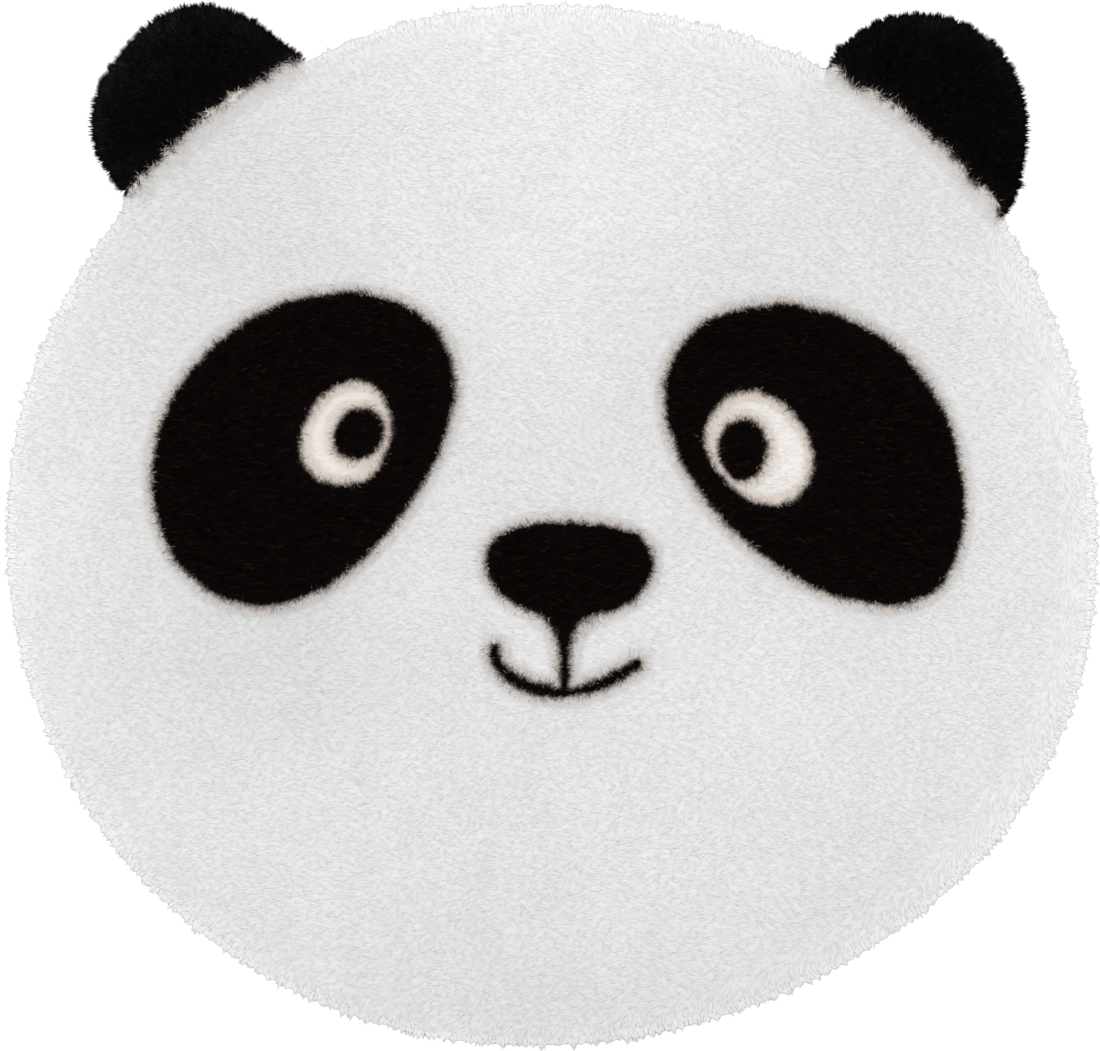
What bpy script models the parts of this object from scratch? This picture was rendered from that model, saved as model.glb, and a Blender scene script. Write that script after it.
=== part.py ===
# A flat plush rug in the outline of a panda's head, lying on the floor.
# A white head panel carries two black ears, sewn to its upper edge. Each piece is a lumpy slab of
# pile with a flat underside, and the pile spills over its edge as small tapered locks.
# Metres, +Z up, +Y towards the ears, origin at the middle of the footprint, on the floor.

import math
import random
from collections import namedtuple

import bmesh
import bpy
from mathutils import Vector, noise

# Head: a superellipse, with the slow waves of an edge cut by hand.
HEAD_HALF_WIDTH = 0.4500
HEAD_HALF_DEPTH = 0.4294
HEAD_SQUARENESS = 2.055
Wave = namedtuple("Wave", "times_round height crest_degrees")
HEAD_WAVES = (
    Wave(1, 0.0026, -13.0),
    Wave(2, 0.0028, 44.5),
    Wave(3, 0.0019, -29.3),
    Wave(4, 0.0013, -19.2),
    Wave(5, 0.0020, -30.8),
    Wave(6, 0.0012, -19.8),
)

# Under an ear the head's cloth has no locks and reaches farther out, to the seam. A shoulder's
# ends are angles at the head's centre, and the cloth eases out to it over the ramp.
Shoulder = namedtuple("Shoulder", "first_degrees last_degrees past_outline")
SHOULDERS = (
    Shoulder(116.2, 143.8, 0.0045),
    Shoulder(32.7, 60.7, 0.0012),
)
SHOULDER_RAMP_DEGREES = 1.5

# Ears: superellipses turned to lie across the head's shoulders, from the head's centre.
# heart is a point well inside the part of the ear that shows beyond the head.
Ear = namedtuple("Ear", "name centre half_across half_along turn_degrees squareness heart")
EARS = (
    Ear("ear_left", (-0.2744, 0.3271), 0.0926, 0.1047, 51.5, 2.57, (-0.3110, 0.3660)),
    Ear("ear_right", (0.3010, 0.3171), 0.0927, 0.1077, -9.6, 2.14, (0.3300, 0.3560)),
)
SEAM_GAP = 0.0003
SEAM_TOLERANCE = 0.0003

# Pile: how high it stands, how it rounds over at the edge, and its soft lumps.
HEAD_PILE_HEIGHT = 0.0150
EAR_PILE_HEIGHT = 0.0165
EDGE_HEIGHT = 0.0085
EDGE_ROLL = 0.026
LUMP_HEIGHT = 0.0042
LUMP_SIZE = 0.052
LUMP_SEED = 4.7
RING_SPACING = 0.024
FIRST_RING_INSET = 0.007
FIRST_RING_SHARE = 0.5
FEWEST_ON_RING = 6

# Locks of pile at the edge. Along is a share of the lock's length; width and height shrink the
# section before it.
LOCK_PITCH = 0.0104
LOCK_REACH = 0.0052
LOCK_REACH_SPREAD = 0.0017
LOCK_SWING = 0.0030
LOCK_TIP_HEIGHT = 0.0019
LOCK_CLEARANCE = 0.0080
LOCK_SEED = 11
LockSection = namedtuple("LockSection", "along width height")
LOCK_SECTIONS = (
    LockSection(0.50, 0.72, 0.62),
    LockSection(1.00, 0.34, 0.40),
)

# Search along a ray for an outline.
FARTHEST = 0.60
RAYS = 1440
HALVINGS = 22

Piece = namedtuple("Piece", "name covers heart pile_height colour")
COLLECTION = "animal_shaped_kids_rug"
WHITE_PLUSH = (0.80, 0.80, 0.80)
BLACK_PLUSH = (0.006, 0.006, 0.007)
PLUSH_ROUGHNESS = 0.9


def superellipse_reach(angle, half_x, half_y, squareness):
    across = abs(math.cos(angle) / half_x) ** squareness
    along = abs(math.sin(angle) / half_y) ** squareness
    return (across + along) ** (-1.0 / squareness)


def head_reach(angle):
    reach = superellipse_reach(angle, HEAD_HALF_WIDTH, HEAD_HALF_DEPTH, HEAD_SQUARENESS)
    for wave in HEAD_WAVES:
        turn = wave.times_round * (angle - math.radians(wave.crest_degrees))
        reach += wave.height * math.cos(turn)
    return reach


def shoulder_rise(angle):
    """How much farther than elsewhere the head's cloth reaches at an angle."""
    rise = 0.0
    for shoulder in SHOULDERS:
        past_first = math.degrees(angle) - shoulder.first_degrees
        before_last = shoulder.last_degrees - math.degrees(angle)
        share = min(max(min(past_first, before_last) / SHOULDER_RAMP_DEGREES, 0.0), 1.0)
        ease = share * share * (3.0 - 2.0 * share)
        rise += (LOCK_REACH + shoulder.past_outline) * ease
    return rise


def head_covers(point, grow=0.0):
    angle = math.atan2(point.y, point.x)
    edge = head_reach(angle) - LOCK_REACH + shoulder_rise(angle)
    return point.length < edge + grow


def ear_covers(ear, point, grow=0.0):
    from_centre = point - Vector(ear.centre)
    angle = math.atan2(from_centre.y, from_centre.x) - math.radians(ear.turn_degrees)
    edge = superellipse_reach(angle, ear.half_across, ear.half_along, ear.squareness)
    inside_ear = from_centre.length < edge - LOCK_REACH + grow
    return inside_ear and not head_covers(point, SEAM_GAP)


def covers_of_ear(ear):
    return lambda point, grow=0.0: ear_covers(ear, point, grow)


def evenly_spaced(points, count):
    """Points at equal steps along a closed outline."""
    lengths = [0.0]
    closed = points + points[:1]
    for start, end in zip(closed, closed[1:]):
        lengths.append(lengths[-1] + (end - start).length)
    spaced = []
    segment = 0
    for step in range(count):
        target = lengths[-1] * step / count
        while lengths[segment + 1] < target:
            segment += 1
        share = (target - lengths[segment]) / (lengths[segment + 1] - lengths[segment])
        spaced.append(closed[segment].lerp(closed[segment + 1], share))
    return spaced


def outline_points(piece):
    """The piece's outline, found along rays from its heart."""
    points = []
    for ray in range(RAYS):
        angle = 2.0 * math.pi * ray / RAYS
        direction = Vector((math.cos(angle), math.sin(angle)))
        near, far = 0.0, FARTHEST
        for _ in range(HALVINGS):
            middle = (near + far) / 2.0
            if piece.covers(piece.heart + direction * middle):
                near = middle
            else:
                far = middle
        points.append(piece.heart + direction * near)
    return points


def perimeter_of(points):
    return sum((end - start).length for start, end in zip(points, points[1:] + points[:1]))


def edge_of(outline):
    """Points a lock's pitch apart, with one exactly at each end of a seam."""
    points = evenly_spaced(outline, round(perimeter_of(outline) / LOCK_PITCH))
    on_seam = [head_covers(point, SEAM_GAP + SEAM_TOLERANCE) for point in outline]
    for number, corner in enumerate(outline):
        if on_seam[number] != on_seam[number - 1]:
            gaps = [(point - corner).length for point in points]
            points[gaps.index(min(gaps))] = corner
    return points


def pile_top(piece, point, inset):
    """Height of the pile at a point that lies so far in from the edge."""
    rise = math.sqrt(1.0 - (1.0 - min(inset / EDGE_ROLL, 1.0)) ** 2)
    at = Vector((point.x, point.y, LUMP_SEED * LUMP_SIZE)) / LUMP_SIZE
    lump = LUMP_HEIGHT * noise.noise(at)
    return EDGE_HEIGHT + (piece.pile_height - EDGE_HEIGHT + lump) * rise


def add_ring(mesh, points, heights):
    ring = bmesh.ops.create_circle(mesh, segments=len(points), radius=1.0)["verts"]
    for vert, point, height in zip(ring, points, heights):
        vert.co = (point.x, point.y, height)
    return list(dict.fromkeys(edge for vert in ring for edge in vert.link_edges))


def ring_shares(radius):
    """Sizes of the rings on top, as shares of the outline, from the edge to the middle."""
    shares = [1.0 - FIRST_RING_INSET / radius]
    steps = round((radius * shares[0]) / RING_SPACING)
    for step in range(1, steps):
        shares.append(shares[0] * (1.0 - step / steps))
    return shares


def add_slab(mesh, piece, outline):
    """A flat underside, an upright edge and a lumpy top. Returns the faces of the edge."""
    edge_points = edge_of(outline)
    count = len(edge_points)
    bottom = add_ring(mesh, edge_points, [0.0] * count)
    ring = add_ring(mesh, edge_points, [EDGE_HEIGHT] * count)
    edge_faces = bmesh.ops.bridge_loops(mesh, edges=bottom + ring)["faces"]
    bmesh.ops.contextual_create(mesh, geom=bottom)
    radius = perimeter_of(outline) / (2.0 * math.pi)
    for number, share in enumerate(ring_shares(radius)):
        if number == 0:
            ring_count = round(count * FIRST_RING_SHARE)
        else:
            ring_count = max(FEWEST_ON_RING, round(perimeter_of(outline) * share / RING_SPACING))
        points = []
        heights = []
        for edge_point in evenly_spaced(outline, ring_count):
            point = piece.heart.lerp(edge_point, share)
            points.append(point)
            heights.append(pile_top(piece, point, (edge_point - point).length))
        inner = add_ring(mesh, points, heights)
        bmesh.ops.bridge_loops(mesh, edges=ring + inner)
        ring = inner
    bmesh.ops.contextual_create(mesh, geom=ring)
    return edge_faces


def add_lock(mesh, face, reach, swing):
    """Draws one face of the edge out and down into a tapered lock with four sides."""
    outward = face.normal.copy()
    sideways = Vector((-outward.y, outward.x, 0.0))
    root = face.calc_center_median()
    for section in LOCK_SECTIONS:
        face = bmesh.ops.extrude_discrete_faces(mesh, faces=[face])["faces"][0]
        middle = face.calc_center_median()
        centre = root + outward * reach * section.along + sideways * swing * section.along ** 2
        centre.z = root.z + (LOCK_TIP_HEIGHT - root.z) * section.along
        for vert in face.verts:
            offset = vert.co - middle
            across = sideways * offset.dot(sideways) * section.width
            vert.co = centre + across + Vector((0.0, 0.0, offset.z * section.height))


def add_locks(mesh, piece, edge_faces, pieces, dice):
    """Locks all round, but for the seams, where the next piece lies against the edge."""
    others = [other for other in pieces if other.name != piece.name]
    for face in edge_faces:
        reach = LOCK_REACH + dice.uniform(-1.0, 1.0) * LOCK_REACH_SPREAD
        swing = dice.uniform(-1.0, 1.0) * LOCK_SWING
        root = face.calc_center_median()
        tip = (root + face.normal * (LOCK_REACH + LOCK_REACH_SPREAD)).to_2d()
        if not any(other.covers(tip, LOCK_CLEARANCE) for other in others):
            add_lock(mesh, face, reach, swing)


def plush_material(piece):
    material = bpy.data.materials.new(piece.name + "_plush")
    material.use_nodes = True
    shader = material.node_tree.nodes["Principled BSDF"]
    shader.inputs["Base Color"].default_value = (*piece.colour, 1.0)
    shader.inputs["Roughness"].default_value = PLUSH_ROUGHNESS
    shader.inputs["Metallic"].default_value = 0.0
    material.diffuse_color = (*piece.colour, 1.0)
    return material


def make_piece(piece, pieces, collection, dice):
    mesh = bmesh.new()
    edge_faces = add_slab(mesh, piece, outline_points(piece))
    bmesh.ops.recalc_face_normals(mesh, faces=mesh.faces)
    add_locks(mesh, piece, edge_faces, pieces, dice)
    bmesh.ops.triangulate(mesh, faces=mesh.faces)
    data = bpy.data.meshes.new(piece.name)
    mesh.to_mesh(data)
    mesh.free()
    data.materials.append(plush_material(piece))
    rug_piece = bpy.data.objects.new(piece.name, data)
    collection.objects.link(rug_piece)
    return rug_piece


def centre_on_origin(objects):
    """Moves the whole rug so that the middle of its footprint is the origin."""
    corners = [vert.co for item in objects for vert in item.data.vertices]
    middle_x = (min(co.x for co in corners) + max(co.x for co in corners)) / 2.0
    middle_y = (min(co.y for co in corners) + max(co.y for co in corners)) / 2.0
    for item in objects:
        item.location = (-middle_x, -middle_y, 0.0)


def main():
    for item in list(bpy.data.objects):
        bpy.data.objects.remove(item, do_unlink=True)
    collection = bpy.data.collections.new(COLLECTION)
    bpy.context.scene.collection.children.link(collection)

    pieces = [Piece("head", head_covers, Vector((0.0, 0.0)), HEAD_PILE_HEIGHT, WHITE_PLUSH)]
    for ear in EARS:
        heart = Vector(ear.heart)
        pieces.append(Piece(ear.name, covers_of_ear(ear), heart, EAR_PILE_HEIGHT, BLACK_PLUSH))
    dice = random.Random(LOCK_SEED)
    centre_on_origin([make_piece(piece, pieces, collection, dice) for piece in pieces])


main()
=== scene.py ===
import math

import bmesh
import bpy
import numpy as np
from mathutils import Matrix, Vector, noise


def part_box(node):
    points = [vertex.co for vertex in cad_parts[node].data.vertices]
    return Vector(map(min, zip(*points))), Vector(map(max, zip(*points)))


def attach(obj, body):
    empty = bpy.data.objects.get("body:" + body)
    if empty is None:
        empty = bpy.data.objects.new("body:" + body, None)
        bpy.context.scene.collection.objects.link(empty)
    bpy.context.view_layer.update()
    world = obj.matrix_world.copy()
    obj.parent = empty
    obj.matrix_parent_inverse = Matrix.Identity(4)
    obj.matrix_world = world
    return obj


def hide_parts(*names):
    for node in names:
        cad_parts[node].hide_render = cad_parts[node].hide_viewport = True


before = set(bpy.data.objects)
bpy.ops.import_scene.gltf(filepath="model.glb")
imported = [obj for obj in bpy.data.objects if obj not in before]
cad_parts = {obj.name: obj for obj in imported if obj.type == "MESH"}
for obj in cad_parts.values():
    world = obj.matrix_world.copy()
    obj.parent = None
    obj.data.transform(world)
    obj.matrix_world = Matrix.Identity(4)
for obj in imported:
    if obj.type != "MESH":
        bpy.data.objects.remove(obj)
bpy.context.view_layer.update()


def setInputs(node, values):
    for socket, value in values.items():
        node.inputs[socket].default_value = value


# camera: straight above the face, as far off as a long lens needs
cameraLook = {
    "lens": 150.0,
    "sensor": 36.0,
    "viewWidth": 0.9066,      # what the frame's long side spans at the top of the pile
    "faceHeight": 0.015,
    "aim": (-0.0008, 0.0004),
    "farthest": 50.0,
}


def addCamera():
    distance = cameraLook["viewWidth"] * cameraLook["lens"] / cameraLook["sensor"]
    place = (*cameraLook["aim"], distance + cameraLook["faceHeight"])
    bpy.ops.object.camera_add(location=place)
    camera = bpy.context.object
    camera.data.lens = cameraLook["lens"]
    camera.data.sensor_width = cameraLook["sensor"]
    camera.data.clip_end = cameraLook["farthest"]
    bpy.context.scene.camera = camera
    print("camera above the rug at", round(distance, 3), "m")


addCamera()

# light: a white room with one broad soft lamp over the rug's upper left
studioLook = {
    "roomLight": 1.05,
    "lampPower": 35.0,
    "lampSize": 3.0,
    "lampPlace": (-0.1, 0.6, 3.0),
    "floorSize": 40.0,
    "floorDrop": 0.0004,      # how far it lies below the rug
    "floorColour": (0.92, 0.92, 0.92),
    "floorRoughness": 0.8,
    "floorSpecular": 0.1,
    "floorGlow": 0.55,        # the floor is a lit table, so that no shadow rings the rug
}


def addStudio():
    world = bpy.data.worlds.new("studio")
    bpy.context.scene.world = world
    world.use_nodes = True
    setInputs(world.node_tree.nodes["Background"], {
        "Color": (1, 1, 1, 1),
        "Strength": studioLook["roomLight"],
    })
    bpy.ops.object.light_add(type="AREA", location=studioLook["lampPlace"])
    lamp = bpy.context.object
    lamp.data.energy = studioLook["lampPower"]
    lamp.data.size = studioLook["lampSize"]
    lamp.rotation_euler = (-Vector(studioLook["lampPlace"])).to_track_quat("-Z", "Y").to_euler()
    floorPlace = (0, 0, -studioLook["floorDrop"])
    bpy.ops.mesh.primitive_plane_add(size=studioLook["floorSize"], location=floorPlace)
    floor = bpy.context.object
    floor.name = "floor"
    material = bpy.data.materials.new("paleFloor")
    material.use_nodes = True
    setInputs(material.node_tree.nodes["Principled BSDF"], {
        "Base Color": (*studioLook["floorColour"], 1),
        "Roughness": studioLook["floorRoughness"],
        "Specular IOR Level": studioLook["floorSpecular"],
        "Emission Color": (1, 1, 1, 1),
        "Emission Strength": studioLook["floorGlow"],
    })
    floor.data.materials.append(material)
    bpy.context.scene.view_settings.view_transform = "Standard"
    print("studio ready")


addStudio()

# outline of the head, as the frame's solid has it: a superellipse with slow waves in its edge
# square is the superellipse's power, 2 for a plain ellipse
headShape = {
    "halfWidth": 0.45,
    "halfDepth": 0.4294,
    "square": 2.055,
    "centre": (-0.00119, -0.00096),
    "edgeIn": 0.0052,         # the cloth's edge, in from the tips of the pile
    "waves": [                # times round, height, where it crests
        (1, 0.0026, -13.0),
        (2, 0.0028, 44.5),
        (3, 0.0019, -29.3),
        (4, 0.0013, -19.2),
        (5, 0.002, -30.8),
        (6, 0.0012, -19.8),
    ],
    "shoulders": [            # under an ear: first and last degree, how far past the outline
        (117.5, 143.8, 0.0045),
        (32.9, 59.7, 0.0012),
    ],
    "shoulderRamp": 1.5,
    "swell": [                # how far the plush stands past the solid's edge: times round, size, crest
        (0, 0.0028, 0.0),
        (1, 0.0012, 54.0),
        (2, 0.0005, -34.0),
        (3, 0.0004, -7.0),
    ],
}

# outlines of the ears, from the head's centre
earShapes = {
    "left": {"centre": (-0.2744, 0.3271), "across": 0.0926, "along": 0.1047, "turn": 51.5,
             "square": 2.57, "heart": (-0.311, 0.366), "swell": (-0.0012, 0.0018, 75.0)},
    "right": {"centre": (0.301, 0.3171), "across": 0.0927, "along": 0.1077, "turn": -9.6,
              "square": 2.14, "heart": (0.33, 0.356), "swell": (0.0004, 0.0013, 15.0)},
}
seamGap = 0.0003              # between the cloths of the head and of an ear
farOff = 1.0                  # farther than anything on the rug
solids = {"head": "head", "left": "ear_left", "right": "ear_right"}     # the frame's nodes


def reachOf(angle, halfX, halfY, square):
    across = np.abs(np.cos(angle) / halfX) ** square
    along = np.abs(np.sin(angle) / halfY) ** square
    return (across + along) ** (-1.0 / square)


def softStep(share):
    share = np.clip(share, 0.0, 1.0)
    return share * share * (3.0 - 2.0 * share)


def headInset(x, y):
    # how far in from the head's cloth edge a point lies
    cx, cy = headShape["centre"]
    dx, dy = x - cx, y - cy
    angle = np.arctan2(dy, dx)
    reach = reachOf(angle, headShape["halfWidth"], headShape["halfDepth"], headShape["square"])
    for timesRound, height, crest in headShape["waves"]:
        reach = reach + height * np.cos(timesRound * (angle - math.radians(crest)))
    swell = sum(size * np.cos(timesRound * (angle - math.radians(crest)))
                for timesRound, size, crest in headShape["swell"])
    for first, last, past in headShape["shoulders"]:
        fromEnd = np.minimum(np.degrees(angle) - first, last - np.degrees(angle))
        share = softStep(fromEnd / headShape["shoulderRamp"])
        reach = reach + (headShape["edgeIn"] + past) * share
        swell = swell * (1.0 - share)
    return reach + swell - headShape["edgeIn"] - np.hypot(dx, dy)


def earRimInset(side, x, y):
    # how far in from the ear's free edge a point lies
    ear = earShapes[side]
    cx, cy = headShape["centre"]
    dx, dy = x - cx - ear["centre"][0], y - cy - ear["centre"][1]
    angle = np.arctan2(dy, dx)
    reach = reachOf(angle - math.radians(ear["turn"]), ear["across"], ear["along"], ear["square"])
    even, more, crest = ear["swell"]
    reach = reach + even + more * np.cos(angle - math.radians(crest))
    return reach - headShape["edgeIn"] - np.hypot(dx, dy)


def heartOf(side):
    # a point well inside the piece, from which its whole edge is seen
    centre = np.array(headShape["centre"])
    return centre if side == "head" else centre + earShapes[side]["heart"]


def rimInset(side, x, y):
    return headInset(x, y) if side == "head" else earRimInset(side, x, y)


def insetOf(side, x, y):
    if side == "head":
        return headInset(x, y)
    return np.minimum(earRimInset(side, x, y), -headInset(x, y) - seamGap)


def nearerEar(x, y):
    return np.maximum(earRimInset("left", x, y), earRimInset("right", x, y))


def bedInset(side, x, y):
    # how far in from its bed's edge: past the cloth at a free rim, short of it at a seam
    if side == "head":
        atSeam = softStep((nearerEar(x, y) + bedForm["seamFrom"]) / bedForm["seamBlend"])
        return headInset(x, y) + bedForm["rimOver"] * (1.0 - atSeam) - bedForm["seamIn"] * atSeam
    fromSeam = -headInset(x, y) - seamGap - bedForm["seamIn"]
    return np.minimum(earRimInset(side, x, y) + bedForm["rimOver"], fromSeam)


def underEar(x, y, slack=0.0):
    # where an ear lies beyond the head's edge
    return nearerEar(x, y) > -slack


def levelGradient(field, x, y, step=0.0008):
    dx = field(x + step, y) - field(x - step, y)
    dy = field(x, y + step) - field(x, y - step)
    return unit(np.stack([dx, dy, np.zeros(len(x))], 1))


def unit(vectors):
    return vectors / np.maximum(np.linalg.norm(vectors, axis=1, keepdims=True), 1e-9)


def noiseAt(x, y, size, seed):
    flat = zip((x / size).ravel(), (y / size).ravel())
    return np.array([noise.noise(Vector((px, py, seed))) for px, py in flat]).reshape(x.shape)


# pile: its height over the floor, its roll at the rug's edge and its soft lumps, as in the solids
# over a seam the fibres of both pieces close up, so the pile's top runs on there
pileForm = {
    "head": 0.015,
    "ear": 0.0165,
    "earRise": 0.016,         # how far from the seam an ear's pile has its full height
    "edge": 0.0085,
    "roll": 0.026,
    "lumpHeight": 0.0042,
    "lumpSize": 0.052,
    "lumpSeed": 4.7,
}


def pileTop(side, x, y):
    fromRim = np.maximum(headInset(x, y), nearerEar(x, y))
    inset = np.clip(fromRim / pileForm["roll"], 0.0, 1.0)
    rise = np.sqrt(1.0 - (1.0 - inset) ** 2)
    full = pileForm["head"]
    if side != "head":
        full = full + (pileForm["ear"] - full) * softStep(-headInset(x, y) / pileForm["earRise"])
    cx, cy = headShape["centre"]
    lump = pileForm["lumpHeight"] * noiseAt(x - cx, y - cy, pileForm["lumpSize"], pileForm["lumpSeed"])
    return pileForm["edge"] + (full - pileForm["edge"] + lump) * rise


# face: every mark as a rounded shape with its real place and size, metres from the rug's middle
# along and across are half sizes, turn is the long axis, egg fattens one end, bend curves it
faceMarks = {
    "patchLeft": {"place": (-0.2075, 0.0711), "along": 0.144, "across": 0.1054, "turn": 48.7,
                  "square": 2.05, "egg": -0.066, "bend": -0.117},
    "patchRight": {"place": (0.2261, 0.063), "along": 0.1462, "across": 0.1011, "turn": 134.7,
                   "square": 1.9, "egg": 0.068, "bend": 0.135},
    "eyeLeft": {"place": (-0.168, 0.0766), "along": 0.044, "across": 0.0362, "turn": 67.0,
                "square": 2.03, "egg": -0.08},
    "eyeRight": {"place": (0.173, 0.0638), "along": 0.0495, "across": 0.0393, "turn": 128.5,
                 "square": 2.15, "egg": 0.04},
    "pupilLeft": {"place": (-0.1585, 0.0756), "along": 0.022, "across": 0.0197, "turn": 41.0,
                  "square": 2.0},
    "pupilRight": {"place": (0.158, 0.0631), "along": 0.0257, "across": 0.0202, "turn": 90.0,
                   "square": 2.0},
    "nose": {"place": (0.0153, -0.035), "along": 0.0387, "across": 0.0681, "turn": 88.4,
             "square": 2.42, "egg": 0.087},
}
faceLines = {
    "stemTop": (0.0112, -0.06),
    "stemFoot": (0.0116, -0.135),
    "stemHalfWidth": 0.0047,
    "funnel": 0.034,          # how far the nose runs softly into its stem
    "mouthHalfWidth": 0.0048,
    "mouthFoot": (0.014, -0.1372),
    # each half of the mouth is a quarter of a superellipse that rises from the foot
    "mouthLeft": {"across": 0.0606, "up": 0.0362, "square": 2.15, "share": 1.0},
    "mouthRight": {"across": 0.0742, "up": 0.0458, "square": 1.5, "share": 0.765},
    "steps": 24,
}
slimmest = 0.2                # no mark narrows below this share of its half width


def markDistance(mark, x, y):
    # signed distance to the mark's border, below zero inside it
    turn = math.radians(mark["turn"])
    dx, dy = x - mark["place"][0], y - mark["place"][1]
    u = dx * math.cos(turn) + dy * math.sin(turn)
    v = -dx * math.sin(turn) + dy * math.cos(turn)
    v = v - mark.get("bend", 0.0) * mark["across"] * (u / mark["along"]) ** 2
    width = mark["across"] * np.maximum(1.0 + mark.get("egg", 0.0) * u / mark["along"], slimmest)
    size = mark["square"]
    norm = (np.abs(u / mark["along"]) ** size + np.abs(v / width) ** size) ** (1.0 / size)
    span = np.hypot(u, v)
    return span - span / np.maximum(norm, 1e-6)


def lineDistance(points, x, y):
    nearest = np.full(x.shape, farOff)
    for (ax, ay), (bx, by) in zip(points, points[1:]):
        dx, dy = bx - ax, by - ay
        share = np.clip(((x - ax) * dx + (y - ay) * dy) / (dx * dx + dy * dy), 0.0, 1.0)
        nearest = np.minimum(nearest, np.hypot(x - ax - share * dx, y - ay - share * dy))
    return nearest


def mouthHalf(half, side):
    footX, footY = faceLines["mouthFoot"]
    points = []
    for step in range(faceLines["steps"] + 1):
        run = half["share"] * math.sin(0.5 * math.pi * step / faceLines["steps"])
        drop = (1.0 - run ** half["square"]) ** (1.0 / half["square"])
        points.append((footX + side * run * half["across"], footY + half["up"] * (1.0 - drop)))
    return points


def smoothNearer(a, b, radius):
    blend = np.clip(0.5 + 0.5 * (b - a) / radius, 0.0, 1.0)
    return b + (a - b) * blend - radius * blend * (1.0 - blend)


borderWander = [                # size, height and seed of its waves
    (0.018, 0.0016, 2.6),
    (0.0075, 0.0012, 4.4),
    (0.0032, 0.0007, 8.8),
]


def wanderAt(x, y):
    return sum(height * noiseAt(x, y, size, seed) for size, height, seed in borderWander)


def nearestMark(x, y, *names):
    return np.minimum.reduce([markDistance(faceMarks[name], x, y) for name in names])


def eyeDistance(x, y):
    return nearestMark(x, y, "eyeLeft", "eyeRight")


def darkDistance(x, y):
    # below zero where the face's pile is black
    patches = np.maximum(nearestMark(x, y, "patchLeft", "patchRight"), -eyeDistance(x, y))
    patches = np.minimum(patches, nearestMark(x, y, "pupilLeft", "pupilRight"))
    stem = lineDistance([faceLines["stemTop"], faceLines["stemFoot"]], x, y)
    nose = smoothNearer(nearestMark(x, y, "nose"), stem - faceLines["stemHalfWidth"], faceLines["funnel"])
    mouth = np.minimum(lineDistance(mouthHalf(faceLines["mouthLeft"], -1), x, y),
                       lineDistance(mouthHalf(faceLines["mouthRight"], 1), x, y))
    return np.minimum(patches, np.minimum(nose, mouth - faceLines["mouthHalfWidth"]))


# where black fibres meet white ones at an ear: how far past the seam, and how it wanders
seamBorder = {
    "left": {"past": 0.0017, "wander": 0.004, "size": 0.02, "seed": 11.3},
    "right": {"past": 0.0013, "wander": 0.005, "size": 0.027, "seed": 14.9},
    "smallWander": 0.0034,
    "smallSize": 0.0075,
    "near": 0.03,             # it wanders only this near to a seam
    "cornerFade": 1.6,
    "slack": {"head": 0.0, "left": 0.01, "right": 0.01},
}


def seamDistance(x, y, slack=0.0):
    # below zero on an ear's side, slack is how far past an ear's cloth its black runs
    nearest = np.full(x.shape, farOff)
    inset = headInset(x, y)
    for side in ("left", "right"):
        border = seamBorder[side]
        outside = np.maximum(-earRimInset(side, x, y) - slack, 0.0)
        near = np.abs(inset) + outside < seamBorder["near"]
        wander = np.zeros(x.shape)
        wander[near] = border["wander"] * noiseAt(x[near], y[near], border["size"], border["seed"])
        wander[near] += seamBorder["smallWander"] * noiseAt(x[near], y[near], seamBorder["smallSize"],
                                                            border["seed"])
        distance = inset + border["past"] + wander + seamBorder["cornerFade"] * outside
        nearest = np.minimum(nearest, distance)
    return nearest


def borderDistance(x, y):
    # how far the nearest border between black and white lies, on either side of it
    return np.minimum(np.abs(darkDistance(x, y)), np.abs(seamDistance(x, y)))


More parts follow.
